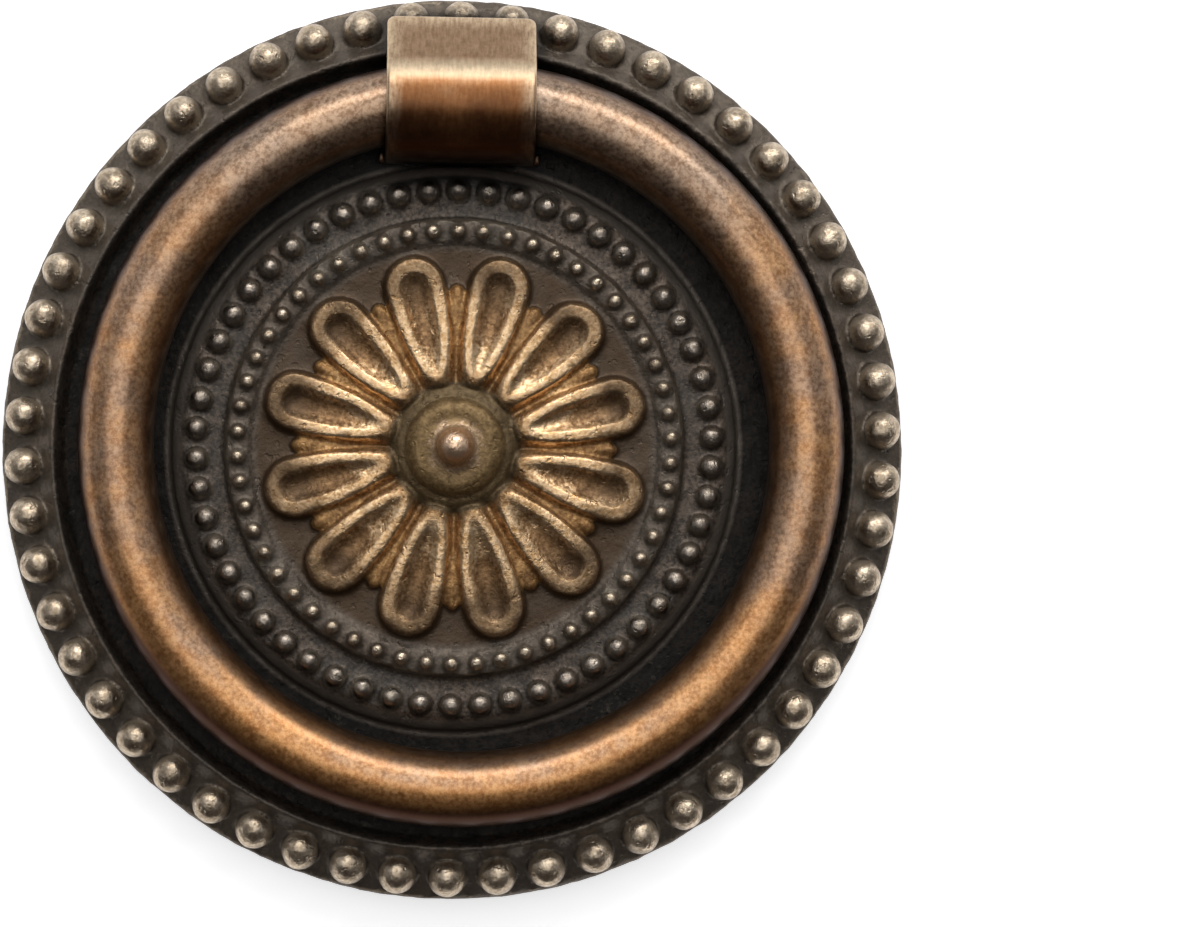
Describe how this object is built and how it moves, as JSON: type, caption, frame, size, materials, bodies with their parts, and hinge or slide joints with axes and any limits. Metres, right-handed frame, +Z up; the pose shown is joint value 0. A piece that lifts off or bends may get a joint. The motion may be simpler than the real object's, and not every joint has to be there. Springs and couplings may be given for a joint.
{
  "type": "ring pull handle",
  "caption": "Round cast backplate with beaded rim, medallion and petal rosette, and a plain bail ring that swings in a folded strap at its top.",
  "frame": {"origin": "centre of the plate's back, at the mouth of its mounting thread", "axes": "+Z up as the pull hangs on a drawer front, -Y out of the drawer towards the hand, +X to the right seen from in front"},
  "size_m": [0.05, 0.0078, 0.05],
  "materials": {
    "plate_patina": "dark antique bronze patina, rubbed lighter on beads and petals",
    "strap_copper": "antique copper, satin, worn bright on its bends and edges",
    "ring_copper": "antique copper, satin, with darker patina on its sides"
  },
  "bodies": {
    "plate": {"backplate": "plate_patina", "ring_strap": "strap_copper"},
    "pull_ring": {"ring": "ring_copper"}
  },
  "joints": [
    {"name": "ring_swing", "type": "hinge", "parent": "plate", "child": "pull_ring", "pos_m": [0, -0.00462, 0.01889], "axis": [-1, 0, 0], "range_deg": [0, 135]}
  ]
}
